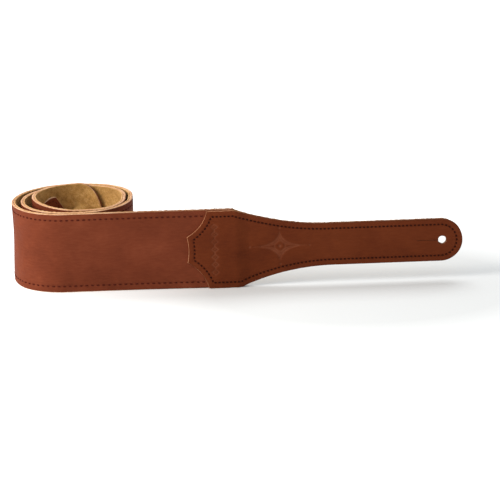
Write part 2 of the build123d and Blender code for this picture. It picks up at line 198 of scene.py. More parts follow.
def scallop_edge(v):
    """s of the tab's scalloped edge at height v from the middle."""
    v = np.abs(v)
    side = bulge((SCALLOP, SCALLOP_HALF), (SHOULDER, MID), SCALLOP_RISE, 60)
    middle = bulge((SCALLOP, -SCALLOP_HALF), (SCALLOP, SCALLOP_HALF), SCALLOP_MIDDLE_RISE, 60)
    by_middle, by_side = (np.interp(v, arc[:, 1], arc[:, 0]) for arc in (middle, side))
    return np.where(v < SCALLOP_HALF, by_middle, by_side)


def rear_half(s):
    """Half the width of the strap's rear end, with its rounded corners."""
    angle = (-s - CORE_S) / CORE
    x = np.clip(CORE * np.sin(angle) - REAR_CORNER_START, 0, REAR_CORNER_X)
    corner = MID - REAR_CORNER_Z + REAR_CORNER_Z * np.sqrt(np.clip(1 - (x / REAR_CORNER_X) ** 2, 0, 1))
    return np.where(s < -CORE_S, corner, MID)


def closed_tab(inset=0.0):
    """The tab's outline, or a line inset from it, as evenly spaced points (s, height from the middle)."""
    v = np.linspace(-MID, MID, 400)
    left = np.stack([scallop_edge(v), v], -1)
    tip = TIP_AT + NARROW * np.sin(np.linspace(0, math.pi / 2, 120))
    s = np.concatenate([np.linspace(SHOULDER, TIP_AT, 800), tip])
    top = np.stack([s, tab_half(s)], -1)
    bottom = np.stack([s, -tab_half(s, -1.0)], -1)[::-1]
    line = np.concatenate([left, top, bottom])
    if inset:
        line = inwards(line, inset)
    return even(line, 900)


def lengths(line):
    """The distance along a line, at each of its points."""
    return np.concatenate([[0], np.cumsum(np.linalg.norm(np.diff(line, axis=0), axis=1))])


def even(line, n):
    """A closed line as n points, spaced evenly."""
    loop = np.vstack([line, line[:1]])
    at = lengths(loop)
    t = np.linspace(0, at[-1], n, endpoint=False)
    return np.stack([np.interp(t, at, loop[:, k]) for k in (0, 1)], -1)


def distance_to(line, s, v):
    """Distance from each (s, v) to a closed line."""
    a, b = line, np.roll(line, -1, axis=0)
    p = np.stack([np.ravel(s), np.ravel(v)], -1)
    best = np.full(len(p), 1e9)
    for k in range(0, len(p), 20000):
        q = p[k : k + 20000, None]
        t = np.clip(((q - a) * (b - a)).sum(-1) / np.maximum(((b - a) ** 2).sum(-1), 1e-12), 0, 1)
        best[k : k + 20000] = np.linalg.norm(q - (a + t[..., None] * (b - a)), axis=-1).min(1)
    return best.reshape(np.shape(s))


def beside(line, inset):
    """A closed line with each point moved inwards along its normal."""
    tangent = np.roll(line, -1, axis=0) - np.roll(line, 1, axis=0)
    tangent /= np.linalg.norm(tangent, axis=1)[:, None]
    return line + inset * np.stack([tangent[:, 1], -tangent[:, 0]], -1)


def inwards(line, inset):
    """The closed line drawn in by inset, without the points that come too near it."""
    line = even(line, 2400)
    moved = beside(line, inset)
    near = distance_to(even(line, 700), moved[:, 0], moved[:, 1])
    return moved[near > inset - 0.12]


# ---- meshes ----
def make(name, verts, faces, material, uv=None, marks=None, kinds=None):
    mesh = bpy.data.meshes.new(name)
    mesh.from_pydata([tuple(v) for v in verts], [], [tuple(int(i) for i in f) for f in faces])
    obj = bpy.data.objects.new(name, mesh)
    bpy.context.scene.collection.objects.link(obj)
    for m in material if isinstance(material, (list, tuple)) else [material]:
        mesh.materials.append(m)
    if uv is not None:
        layer = mesh.uv_layers.new(name="flat")
        loops = np.zeros(len(mesh.loops), int)
        mesh.loops.foreach_get("vertex_index", loops)
        layer.data.foreach_set("uv", np.asarray(uv, float)[loops].ravel())
    for mark, values in (marks or {}).items():
        mesh.attributes.new(mark, "FLOAT", "POINT").data.foreach_set("value", np.asarray(values, np.float32))
    if kinds is not None:
        mesh.polygons.foreach_set("material_index", np.asarray(kinds, np.int32))
    mesh.polygons.foreach_set("use_smooth", np.ones(len(mesh.polygons), bool))
    mesh.validate()
    mesh.update()
    return obj


def shell(name, s, z, place_at, mask, materials, marks, round_by=0.4, rough=0.0, seed=1, hole=None):
    """A closed sheet: a grid of (s, z), its two faces from place_at(s, z, t) with t 0 outside and 1 inside.

    Cells where mask is false are left out, and every open edge gets a rounded wall. Materials: outer face,
    inner face, wall. marks are named values over the grid. hole is the centre of a round hole.
    """
    ni, nj = s.shape
    used = np.zeros((ni, nj), bool)
    for di in (0, 1):
        for dj in (0, 1):
            used[di : ni - 1 + di, dj : nj - 1 + dj] |= mask
    # Where a boundary vertex looks: away from the cells it belongs to, across the boundary.
    out = np.zeros((ni, nj, 2))
    pos = np.stack([s, z], -1)
    padded = np.zeros((ni + 1, nj + 1), bool)
    padded[1:ni, 1:nj] = mask
    walls = []
    for i in range(ni):
        for j in range(nj - 1):  # edges along j, between cells (i-1, j) and (i, j)
            a, b = padded[i, j + 1], padded[i + 1, j + 1]
            if a != b:
                walls.append(((i, j), (i, j + 1), (i - 1, j)) if a else ((i, j + 1), (i, j), (i, j)))
    for i in range(ni - 1):
        for j in range(nj):  # edges along i, between cells (i, j-1) and (i, j)
            a, b = padded[i + 1, j], padded[i + 1, j + 1]
            if a != b:
                walls.append(((i + 1, j), (i, j), (i, j - 1)) if a else ((i, j), (i + 1, j), (i, j)))
    for a, b, c in walls:
        pa, pb = pos[a], pos[b]
        centre = (pos[c] + pos[c[0] + 1, c[1] + 1]) / 2
        along = (pb - pa) / max(np.linalg.norm(pb - pa), 1e-9)
        away = (pa + pb) / 2 - centre
        away = away - along * (away @ along)
        away /= max(np.linalg.norm(away), 1e-9)
        weight = max(np.linalg.norm(pb - pa), 1e-6)
        out[a] += away * weight
        out[b] += away * weight
    norm = np.linalg.norm(out, axis=-1)
    edge = norm > 1e-9
    out[edge] /= norm[edge][:, None]
    round_by = np.broadcast_to(round_by, s.shape)
    if hole is not None:
        to_hole = np.stack([hole[0] - s, hole[1] - z], -1)
        distance = np.linalg.norm(to_hole, axis=-1)
        at_rim = edge & (distance < HOLE_R + 0.15)
        out[at_rim] = to_hole[at_rim] / distance[at_rim][:, None]
    rough_at = rough * (ripple(s / 1.7, z / 1.7, seed) + 0.6 * ripple(s / 0.6, z / 0.6, seed + 1))
    index = -np.ones((2, ni, nj), int)
    verts, uv, values = [], [], {mark: [] for mark in marks}

    def add_points(ss, zz, t, i, j):
        verts.extend(place_at(ss, zz, t))
        uv.extend(np.stack([ss * MM, zz * MM], -1))
        for mark in marks:
            values[mark].extend(marks[mark][i, j])

    ii, jj = np.nonzero(used)
    for layer, t in ((0, 0.0), (1, 1.0)):
        pull = -round_by[ii, jj] + rough_at[ii, jj]
        move = np.where(edge[ii, jj], pull, 0.0)[:, None] * out[ii, jj]
        ss, zz = s[ii, jj] + move[:, 0], z[ii, jj] + move[:, 1]
        index[layer, ii, jj] = len(verts) + np.arange(len(ii))
        add_points(ss, zz, np.full(len(ii), t), ii, jj)
    faces, kinds = [], []
    ci, cj = np.nonzero(mask)
    for layer in (0, 1):
        at = index[layer]
        quads = np.stack([at[ci, cj], at[ci + 1, cj], at[ci + 1, cj + 1], at[ci, cj + 1]], -1)
        faces.extend(quads if layer == 0 else quads[:, ::-1])
        kinds.extend([layer] * len(quads))
    ei, ej = np.nonzero(edge & used)
    rings = {}
    for k, (t, back) in enumerate(((0.16, 0.3), (0.5, 0.0), (0.84, 0.3))):
        pull = -back * round_by[ei, ej] + rough_at[ei, ej]
        ss, zz = s[ei, ej] + pull * out[ei, ej, 0], z[ei, ej] + pull * out[ei, ej, 1]
        start = len(verts)
        for n, (i, j) in enumerate(zip(ei, ej)):
            rings[k, i, j] = start + n
        add_points(ss, zz, np.full(len(ei), t), ei, ej)
    for a, b, _ in walls:
        column = [[index[0][p]] + [rings[k, p[0], p[1]] for k in range(3)] + [index[1][p]] for p in (a, b)]
        for k in range(4):
            faces.append((column[0][k], column[0][k + 1], column[1][k + 1], column[1][k]))
            kinds.append(2)
    obj = make(name, verts, faces, materials, uv, values, kinds)
    b = bmesh.new()
    b.from_mesh(obj.data)
    bmesh.ops.recalc_face_normals(b, faces=b.faces)
    b.to_mesh(obj.data)
    b.free()
    return obj


def stitches(name, line_at, length, pitch, material, size, proud, gap):
    """Thread in short stitches. line_at(t) gives (point in metres, along, out) at distances t in mm."""
    n = max(int(round(length / pitch)), 1)
    at = (np.arange(n) + 0.5) * length / n
    long = pitch - gap
    rings, around = 9, 8
    verts, faces, uv = [], [], []
    for k, t0 in enumerate(at):
        reach = long / 2 * rng.uniform(0.93, 1.05)
        skew = rng.uniform(-0.1, 0.1)
        ts = t0 + np.linspace(-reach, reach, rings)
        point, along, out = line_at(ts)
        side = np.cross(along, out)
        f = np.linspace(-1, 1, rings)
        fat = np.sqrt(np.clip(1 - np.abs(f) ** 3.2, 0, 1)) * (1 + 0.05 * np.cos(f * 14 + k))
        dip = -0.34 * np.abs(f) ** 4
        first = len(verts)
        for r in range(rings):
            for a in range(around):
                angle, thin = 2 * math.pi * a / around, max(fat[r], 0.12)
                w, h = size[0] * thin * math.cos(angle), size[1] * thin * math.sin(angle)
                verts.append(point[r] + (side[r] * (w + skew * f[r]) + out[r] * (h + proud + dip[r])) * MM)
                uv.append((ts[r] * MM, a / around * 0.002))
        for r in range(rings - 1):
            for a in range(around):
                b = (a + 1) % around
                p = first + r * around
                faces.append((p + a, p + b, p + around + b, p + around + a))
        faces.append(tuple(first + a for a in range(around))[::-1])
        faces.append(tuple(first + (rings - 1) * around + a for a in range(around)))
    return make(name, verts, faces, material, uv)


def on_surface(s_of, z_of, depth_of, facing):
    """A line_at for stitches that follows s, z and depth; facing is 1 outside and -1 on the suede side."""
    def line_at(t):
        def p(x):
            return place(s_of(x), depth_of(x), z_of(x))
        h = 0.05
        point = p(t)
        along = p(t + h) - p(t - h)
        along /= np.linalg.norm(along, axis=-1)[:, None]
        out = place(s_of(t), depth_of(t) - 0.5, z_of(t)) - place(s_of(t), depth_of(t) + 0.5, z_of(t))
        out = out - along * (out * along).sum(-1)[:, None]
        out *= facing / np.linalg.norm(out, axis=-1)[:, None]
        return point, along, out
    return line_at


# ---- materials ----
def material(name):
    """A new material, its node builder and its shader."""
    m = bpy.data.materials.new(name)
    m.use_nodes = True
    return m, Nodes(m.node_tree), m.node_tree.nodes["Principled BSDF"]


class Nodes:
    """Short calls for building a node tree."""

    def __init__(self, tree):
        self.tree = tree

    def add(self, kind, inputs=(), **settings):
        node = self.tree.nodes.new(kind)
        for key, value in settings.items():
            setattr(node, key, value)
        self.feed(node, inputs)
        return node

    def feed(self, node, inputs):
        """Links a node's inputs to sockets, or sets them to values."""
        for key, value in dict(inputs).items():
            if isinstance(value, bpy.types.NodeSocket):
                self.tree.links.new(value, node.inputs[key])
            else:
                node.inputs[key].default_value = value

    def flat(self):
        return self.add("ShaderNodeUVMap", uv_map="flat").outputs["UV"]

    def mark(self, name):
        return self.add("ShaderNodeAttribute", attribute_name=name).outputs["Fac"]

    def noise(self, vector, scale, detail=4.0, rough=0.55, distortion=0.0):
        inputs = {"Vector": vector, "Scale": scale, "Detail": detail, "Roughness": rough,
                  "Distortion": distortion}
        return self.add("ShaderNodeTexNoise", inputs).outputs["Fac"]

    def mapping(self, vector, scale, location=(0, 0, 0), rotation=(0, 0, 0)):
        return self.add("ShaderNodeMapping", {"Vector": vector, "Scale": scale, "Location": location,
                                              "Rotation": rotation}).outputs["Vector"]

    def ramp(self, value, stops):
        node = self.add("ShaderNodeValToRGB", {"Fac": value})
        ramp = node.color_ramp
        while len(ramp.elements) < len(stops):
            ramp.elements.new(0.5)
        for element, (position, colour) in zip(ramp.elements, stops):
            element.position = position
            element.color = (*colour, 1)
        return node.outputs["Color"]

    def scale(self, value, low, high, to_low=0.0, to_high=1.0):
        return self.add("ShaderNodeMapRange", {"Value": value, "From Min": low, "From Max": high,
                                               "To Min": to_low, "To Max": to_high}).outputs["Result"]

    def mix(self, factor, a, b):
        a, b = (c if isinstance(c, bpy.types.NodeSocket) else (*c, 1) for c in (a, b))
        return self.add("ShaderNodeMix", {0: factor, 6: a, 7: b}, data_type="RGBA").outputs[2]

    def math(self, kind, a, b=0.0):
        return self.add("ShaderNodeMath", {0: a, 1: b}, operation=kind).outputs[0]

    def weigh(self, first, *others):
        """The sum of (value, weight) pairs."""
        total = self.math("MULTIPLY", *first)
        for part in others:
            total = self.math("ADD", total, self.math("MULTIPLY", *part))
        return total

    def bump(self, height, distance, strength=1.0, normal=None):
        inputs = {"Height": height, "Distance": distance, "Strength": strength}
        if normal is not None:
            inputs["Normal"] = normal
        return self.add("ShaderNodeBump", inputs).outputs["Normal"]


def leather(name, dark, base, light, worn):
    """Sanded leather: soft broad cloudiness, a fine brushed grain and pores, worn where it is pressed in."""
    m, n, shader = material(name)
    flat = n.flat()
    clouds = n.noise(n.mapping(flat, (1, 1.4, 1)), 16.0, 3.0, 0.5, distortion=0.3)
    patches = n.noise(n.mapping(flat, (1, 1, 1), (3.1, 1.7, 0)), 75.0, 5.0, 0.55, distortion=0.5)
    lines = n.mapping(flat, (160, 700, 1), (0.4, 0.9, 0), (0, 0, 0.12))
    brushed = n.noise(lines, 1.0, 4.0, 0.6, distortion=0.3)
    speckle = n.noise(n.mapping(flat, (1, 1, 1), (7.7, 4.2, 0)), 1300.0, 4.0, 0.65)
    tone = n.weigh((clouds, 0.5), (patches, 0.25), (brushed, 0.25))
    colour = n.ramp(tone, [(0.36, dark), (0.5, base), (0.64, light)])
    colour = n.mix(n.scale(speckle, 0.55, 0.8, 0.0, 0.35), colour, light)
    colour = n.mix(n.scale(speckle, 0.45, 0.2, 0.0, 0.45), colour, dark)
    edge = n.scale(n.math("ADD", n.mark("rim"), n.scale(patches, 0.3, 0.7, -0.04, 0.04)), 0.14, 0.0, 0.0, 0.5)
    colour = n.mix(edge, colour, dark)
    rubbed = n.math("MULTIPLY", n.mark("pressed"), n.scale(patches, 0.35, 0.6, 0.3, 0.65))
    roughness = n.scale(n.weigh((speckle, 0.5), (patches, 0.5)), 0.35, 0.65, 0.6, 0.82)
    pores = n.add("ShaderNodeTexVoronoi", {"Vector": flat, "Scale": 1500.0}).outputs["Distance"]
    grain = n.noise(flat, 2400.0, 3.0, 0.7)
    normal = n.bump(patches, 0.0005, 0.25)
    normal = n.bump(pores, 0.00012, 0.4, normal)
    n.feed(shader, {"Base Color": n.mix(rubbed, colour, worn), "Roughness": roughness,
                    "Specular IOR Level": 0.06, "Normal": n.bump(grain, 0.00014, 0.6, normal)})
    return m


def suede(name, dark, base, light):
    """Napped suede: soft brushed patches over short fibres, with a velvety sheen."""
    m, n, shader = material(name)
    flat = n.flat()
    brushed = n.noise(n.mapping(flat, (40, 90, 1)), 1.0, 4.0, 0.6, distortion=1.2)
    fibres = n.noise(n.mapping(flat, (700, 1300, 1), (2, 5, 0), (0, 0, 0.5)), 1.0, 5.0, 0.75, distortion=0.8)
    fluff = n.noise(flat, 330.0, 6.0, 0.75)
    tone = n.weigh((brushed, 0.3), (fibres, 0.35), (fluff, 0.35))
    n.feed(shader, {"Base Color": n.ramp(tone, [(0.37, dark), (0.5, base), (0.62, light)]), "Roughness": 0.95,
                    "Specular IOR Level": 0.1, "Sheen Weight": 0.25, "Sheen Roughness": 0.4,
                    "Sheen Tint": (0.95, 0.68, 0.36, 1),
                    "Normal": n.bump(fibres, 0.0007, 1.0, n.bump(fluff, 0.0014, 1.0))})
    return m


def raw_edge(name, dark, base, light, darker_edge):
    """The cut edge: pressed fibres, with stained spots, painted darker where it is marked so, which in the
    innermost lap up to the rear end is painted shade.
    """
    m, n, shader = material(name)
    where = n.add("ShaderNodeTexCoord").outputs["Object"]
    fibres = n.noise(n.mapping(where, (1, 1, 2.2)), 700.0, 6.0, 0.75, distortion=0.7)
    stains = n.noise(where, 60.0, 4.0, 0.6)
    colour = n.ramp(n.weigh((fibres, 0.6), (stains, 0.4)), [(0.36, dark), (0.5, base), (0.66, light)])
    darker_by = n.math("MULTIPLY", n.mark("darker_edge"), n.scale(fibres, 0.3, 0.7, 1.0, 0.8))
    n.feed(shader, {"Base Color": n.mix(darker_by, colour, darker_edge), "Roughness": 0.85, "Specular IOR Level": 0.15,
                    "Normal": n.bump(fibres, 0.0006, 0.9)})
    return m


def thread_material(name, base, light):
    """Waxed twisted thread."""
    m, n, shader = material(name)
    flat = n.flat()
    slanted = n.mapping(flat, (1, 1, 1), (0, 0, 0), (0, 0, 0.7))
    inputs = {"Vector": slanted, "Scale": 620.0, "Distortion": 1.5, "Detail": 2.0}
    twist = n.add("ShaderNodeTexWave", inputs).outputs["Fac"]
    n.feed(shader, {"Base Color": n.ramp(twist, [(0.2, base), (0.8, light)]), "Roughness": 0.9,
                    "Specular IOR Level": 0.05, "Normal": n.bump(twist, 0.0003, 0.8)})
    return m


strap_face = leather("strap_leather", (0.112, 0.0235, 0.0093), (0.147, 0.0325, 0.0135),
                     (0.186, 0.0445, 0.0195), (0.22, 0.073, 0.04))
tab_leather = leather("tab_leather", (0.093, 0.0175, 0.005), (0.122, 0.025, 0.0072), (0.152, 0.0335, 0.0105),
                      (0.2, 0.062, 0.03))
tail_face = leather("tail_leather", (0.12, 0.026, 0.009), (0.16, 0.037, 0.014), (0.21, 0.053, 0.022),
                    (0.25, 0.09, 0.045))
flesh = suede("leather_flesh_side", (0.16, 0.07, 0.026), (0.28, 0.13, 0.055), (0.38, 0.2, 0.09))
nap = suede("suede_nap", (0.27, 0.138, 0.036), (0.5, 0.275, 0.085), (0.7, 0.44, 0.17))
leather_edge = raw_edge("leather_edge", (0.34, 0.16, 0.08), (0.62, 0.35, 0.2), (0.8, 0.55, 0.37),
                        (0.15, 0.045, 0.016))
suede_edge = raw_edge("suede_edge", (0.36, 0.17, 0.06), (0.6, 0.34, 0.15), (0.78, 0.52, 0.28),
                      (0.27, 0.11, 0.045))
tab_edge = raw_edge("tab_edge", (0.15, 0.045, 0.018), (0.34, 0.14, 0.065), (0.5, 0.25, 0.13),
                    (0.07, 0.02, 0.008))
dark_thread = thread_material("dark_thread", (0.06, 0.009, 0.005), (0.1, 0.018, 0.01))
tab_thread = thread_material("tab_thread", (0.025, 0.004, 0.002), (0.05, 0.009, 0.005))
nap_thread = thread_material("inner_thread", (0.46, 0.25, 0.08), (0.6, 0.35, 0.13))


# ---- the strap ----
SLOTS = (-14.0, -12.0, 18.0, 20.0)  # degrees round the core: the first slot, the bridge, the second slot
SLOT_Z = (18.5, 45.0)
BRIDGE_BOW, BRIDGE_ARCH, BRIDGE_RAMP = 7.4, 4.8, 2.4  # how deep, how high, how steep


def core_s(angle):
    """s at an angle round the core, in degrees."""
    return -(CORE_S + CORE * math.radians(angle))


def core_angle(s):
    """The angle round the core at s, in degrees."""
    return np.degrees((-s - CORE_S) / CORE)


def cell_middle(grid):
    return (grid[1:, 1:] + grid[:-1, :-1]) / 2


def bridge_shift(s, z):
    """How far the bridge between the two slots bows inwards, to let the tail pass behind it.

    The bulge runs out above the slots in a low arch.
    """
    angle = core_angle(s)
    middle, half_turn = (SLOTS[1] + SLOTS[2]) / 2, (SLOTS[2] - SLOTS[1]) / 2 + 0.05
    across_it = np.clip(1 - ((angle - middle) / half_turn) ** 2, 0, 1)
    top = SLOT_Z[1] - 0.4 + BRIDGE_ARCH * across_it
    profile = smooth((z - SLOT_Z[0] - 0.1) / BRIDGE_RAMP) * smooth((top - z) / BRIDGE_RAMP)
    here = (angle > SLOTS[1] - 0.05) & (angle < SLOTS[2] + 0.05) & (z > SLOT_Z[0]) & (z < top)
    return np.where(here, BRIDGE_BOW * profile, 0.0)


def snap(places, exact):
    """Moves the nearest of the places onto each exact one."""
    for e in exact:
        places[np.argmin(np.abs(places - e))] = e
    return places


def lengthwise(start, stop, step, extra=()):
    """Places along the strap: even steps, with the extra places exactly on the grid."""
    return np.unique(np.clip(snap(np.arange(start, stop + step / 2, step), extra), start, stop))


def rows_across():
    """Heights from the middle, as signed distances from the edge at full width, fine where the seams run."""
    near = [0.0, 0.9, 2.0, 3.3, 4.1, 4.55, 5.0, 5.45, 5.9, 6.8, 8.2, 10.0]
    inner = np.linspace(10.0, WIDTH - 10.0, int((WIDTH - 20) / 1.7) + 1)[1:-1]
    return snap(np.concatenate([near, inner, WIDTH - np.array(near)[::-1]]), SLOT_Z) - MID


PITCH = 4.38  # of the edge seam
GRID_STEP = PITCH / 4
SEAM_END = 107.6  # where the strap's edge seam runs under the tab
SEAM_PHASE = SEAM_END - 0.6  # a place where its thread goes through
extra = [core_s(a) for a in SLOTS]
s_line = lengthwise(-ROLLED, STRAP_END, GRID_STEP, extra)
v_line = rows_across()


def across(v, half):
    """Heights of rows v where the sheet is half wide: rows keep their distance from the edge."""
    from_edge = MID - np.abs(v)
    keep = np.clip((half - 12) / 8, 0, 1)
    near = half - from_edge
    scaled = half * np.abs(v) / MID
    inner = np.where(from_edge < 10, near, (half - 10) * np.abs(v) / (MID - 10))
    return np.sign(v) * (keep * inner + (1 - keep) * scaled)


def slot_mask(angle, z):
    in_slot = ((angle > SLOTS[0]) & (angle < SLOTS[1])) | ((angle > SLOTS[2]) & (angle < SLOTS[3]))
    return ~(in_slot & (z > SLOT_Z[0]) & (z < SLOT_Z[1]))


S, V = np.meshgrid(s_line, v_line, indexing="ij")
half = np.maximum(rear_half(S), 0.0)
Z = MID + np.where(half < MID - 1e-6, across(V, half), V)
strap_mask = slot_mask(core_angle(cell_middle(S)), cell_middle(Z))


def groove(distance, inset, s):
    """The furrow a seam pulls into the face, deepest where the thread goes through."""
    holes = 0.5 + 0.5 * np.cos(2 * math.pi * (s - SEAM_PHASE) / PITCH)
    return np.exp(-((distance - inset) ** 2) / (2 * 0.55**2)) * (0.22 + 0.2 * holes)


def strap_at(s, z, t):
    """place_at of the strap's leather, with the seam's furrow in its outer face."""
    edge_distance = rear_half(s) - np.abs(z - MID)
    furrow = groove(edge_distance, EDGE_INSET, s) * (s < SCALLOP + 15)
    pinch = 0.12 * np.exp(-np.clip(edge_distance, 0, None) / 1.2)
    depth = (LEATHER - APART) * t + np.where(t == 0, furrow + pinch, 0.0)
    return place(s, depth + bridge_shift(s, z), z)


def marks_of(s, z, half, darker_edge):
    """What the materials read: nearness to the edge, what is pressed in, where the cut edge is painted darker
    (painted shade in the innermost lap up to the rear end).
    """
    return {"rim": np.clip((half - np.abs(z - MID)) / 10, 0, 1), "pressed": 0 * s, "darker_edge": darker_edge}


# The strap's cut edge is painted darker from the core's back to the rear end, as painted shade deep in the roll
# where the end's edge faces away from the key light, and darker along the run towards the free end.
rear_shade_and_darker_run = smooth((-S - CORE_S - 2) / 6) + 0.8 * smooth((S - 10) / 70)
strap_marks = marks_of(S, Z, rear_half(S), rear_shade_and_darker_run)
strap_leather = shell("strap_leather_band", S, Z, strap_at, strap_mask, [strap_face, flesh, leather_edge],
                      strap_marks, 0.4, 0.06, seed=11)
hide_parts("strap_leather_roll", "strap_leather_run")

# The suede backs the strap and runs on behind the tab, cut to its outline.
tab_places = [STRAP_END, TAPER, TAPER + TAPER_LENGTH, TIP_AT]
s_suede = lengthwise(-ROLLED + 0.2, RUN - 0.05, GRID_STEP, [*extra, *tab_places])
s_suede = np.unique(np.concatenate([s_suede, RUN - NARROW * (1 - np.sin(np.linspace(1.2, math.pi / 2, 9)))]))


SLIT_ROW = 0.31  # the grid's rows beside the slit lie no further from its middle than this


def with_hole(s, z, mask, hole_s, hole_z, slit):
    """Cuts the button hole and its slit out of a grid.

    The cells go, the hole's rim is pulled onto its circle, and the rows beside the slit close up to a hair.
    """
    cs, cz = cell_middle(s), cell_middle(z)
    around = np.hypot(cs - hole_s, cz - hole_z) < HOLE_R
    cut = (cs < hole_s) & (cs > hole_s - slit) & (np.abs(cz - hole_z) < SLIT_ROW)
    mask = mask & ~(around | cut)
    open_near, solid_near = np.zeros(s.shape, bool), np.zeros(s.shape, bool)
    for di in (0, 1):
        for dj in (0, 1):
            view = (slice(di, s.shape[0] - 1 + di), slice(dj, s.shape[1] - 1 + dj))
            open_near[view] |= around
            solid_near[view] |= mask
    beside_slit = np.abs(z - hole_z) < SLIT_ROW + 0.02
    rimmed = open_near & solid_near & ~(beside_slit & (s < hole_s))
    lips = beside_slit & (s < hole_s - HOLE_R + 0.4) & (s > hole_s - slit) & (slit > 0)
    distance = np.maximum(np.hypot(s - hole_s, z - hole_z), 1e-6)
    s = np.where(rimmed, hole_s + (s - hole_s) * HOLE_R / distance, s)
    z = np.where(rimmed, hole_z + (z - hole_z) * HOLE_R / distance, z)
    z = np.where(lips, hole_z + np.sign(z - hole_z) * 0.1, z)
    round_by = np.where(lips, 0.05, 0.35)
    return s, z, mask, round_by


s_fine = np.arange(HOLE_AT - SLIT - 4, HOLE_AT + 6, 0.6)
s_suede = np.unique(np.concatenate([s_suede[(s_suede < s_fine[0]) | (s_suede > s_fine[-1])], s_fine]))
slit_rows = snap(v_line.copy(), (-0.906, 0.906))  # 0.3 mm from the middle at the tip
S2, V2 = np.meshgrid(s_suede, slit_rows, indexing="ij")
half2 = np.minimum(rear_half(S2), tab_half(S2, V2))
Z2 = MID + np.where(half2 < MID - 1e-6, across(V2, half2), V2)
suede_mask = slot_mask(core_angle(cell_middle(S2)), cell_middle(Z2))
S2, Z2, suede_mask, suede_round = with_hole(S2, Z2, suede_mask, HOLE_AT, MID, SLIT)


def suede_at(s, z, t):
    depth = LEATHER + 0.03 + (SUEDE - 0.05) * t
    distance = np.minimum(rear_half(s), tab_half(s, z - MID)) - np.abs(z - MID)
    inset = np.where(s < TAPER - 20, EDGE_INSET, TAB_INSET)
    depth = depth - np.where(t == 1, groove(distance, inset, s) * 0.3, 0)
    nap_bumps = 0.09 * ripple(s / 2.1, z / 2.1, 5) + 0.06 * ripple(s / 0.9, z / 0.9, 6)
    depth = depth + np.where(t == 1, nap_bumps, 0)
    beyond = s > STRAP_END + 0.3
    return place(s, depth + bridge_shift(s, z), np.where(beyond, set_low(s, z), z))


# The suede's cut edge is painted darker along the run towards the free end.
suede_marks = marks_of(S2, Z2, half2, 0.9 * smooth((S2 - 10) / 70))
suede_band = shell("suede_lining", S2, Z2, suede_at, suede_mask, [nap, nap, suede_edge], suede_marks,
                   suede_round, 0.16, seed=21, hole=(HOLE_AT, MID))
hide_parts("strap_suede_roll", "strap_suede_run")


# ---- the front tab ----
def step_back(s):
    """How far the tab leather comes down off the strap's end."""
    return LEATHER * smooth((s - STEP_AT) / STEP_LENGTH)


TAB_LINE = closed_tab()
SEAM_LINE = closed_tab(TAB_INSET)
tab_v = snap(np.linspace(-MID, MID, 117), (-0.554, 0.554))
wide = np.linspace(0, 1, 66)
tip_s = TIP_AT + NARROW * np.sin(np.linspace(0, math.pi / 2 - 0.02, 34))
narrow_s = np.concatenate([np.arange(TAPER + 0.6, TIP_AT, 0.6), tip_s])
edge_s = scallop_edge(tab_v)
T_S = np.concatenate([edge_s[None] + (TAPER - edge_s[None]) * wide[:, None],
                      np.repeat(narrow_s[:, None], len(tab_v), 1)])
T_Z = MID + tab_v[None] * tab_half(T_S, tab_v[None]) / MID
tab_mask = np.ones((T_S.shape[0] - 1, T_S.shape[1] - 1), bool)
T_S, T_Z, tab_mask, tab_round = with_hole(T_S, T_Z, tab_mask, HOLE_AT, MID, SLIT)


STAR_AT, STAR_LONG, STAR_HIGH = 166.0, 21.0, 12.5
ROW_AT, ROW_PITCH = 115.0, 6.2


def pressed(s, z):
    """A plain pressed pattern, 0 to 1: a four-pointed star with rings and dots, and a row of lozenges."""
    v = z - MID
    du, dw = s - STAR_AT, s - ROW_AT

    def line(value, width=0.38):
        return np.exp(-(value**2) / (2 * width**2))

    def dot(across, up, radius):
        return np.exp(-((np.hypot(across, up) / radius) ** 4))

    marks = []
    for size in (1.0, 0.72):
        a, b = STAR_LONG * size, STAR_HIGH * size
        edge = np.sqrt(np.abs(du) / a + 1e-6) + np.sqrt(np.abs(v) / b + 1e-6) - 1
        marks.append(line(edge * 7.5 * size, 0.42) * (np.abs(du) < a) * (np.abs(v) < b))
    marks += [line(np.hypot(du, v) - 4.2), dot(du, v, 1.3)]
    for k in range(8):
        angle = math.pi * k / 4 + math.pi / 8
        marks.append(dot(du - 6.4 * math.cos(angle), v - 6.4 * math.sin(angle), 0.7))
    marks += [dot(du - cu, v - cv, 0.9) for cu, cv in ((23.5, 0), (-23.5, 0), (0, 14.5), (0, -14.5))]
    for k in range(-3, 4):
        up = v - ROW_PITCH * k
        marks += [line((np.abs(dw) / 2.6 + np.abs(up) / 2.3 - 1) * 2.2, 0.4), dot(dw, up, 0.55)]
    marks += [dot(dw, v - ROW_PITCH * (k + 0.5), 0.6) for k in range(-3, 3)]
    return np.max(np.broadcast_arrays(*marks), axis=0)


def loop_at(line):
    """(s, z) along a closed line, from the distance along it."""
    loop = np.vstack([line, line[:1]])
    at = lengths(loop)

    def s_of(t):
        return np.interp(np.mod(t, at[-1]), at, loop[:, 0])

    def z_of(t):
        return MID + np.interp(np.mod(t, at[-1]), at, loop[:, 1])

    return s_of, z_of, at[-1]


def tab_seam_z(t):
    return set_low(tab_s(t), tab_z(t))


def tab_at(s, z, t):
    v = z - MID
    distance = distance_to(TAB_LINE, s, v)
    depth = -LEATHER + (LEATHER - APART) * t + step_back(s)
    furrow = 0.3 * np.exp(-((distance - TAB_INSET) ** 2) / (2 * 0.5**2))
    crown = 0.16 * np.exp(-distance / 1.4)
    uneven = 0.35 * pressed(s, z) + 0.03 * ripple(s / 9, z / 9, 8)
    depth = depth + np.where(t == 0, furrow + crown + uneven, 0)
    return place(s, depth, set_low(s, z))


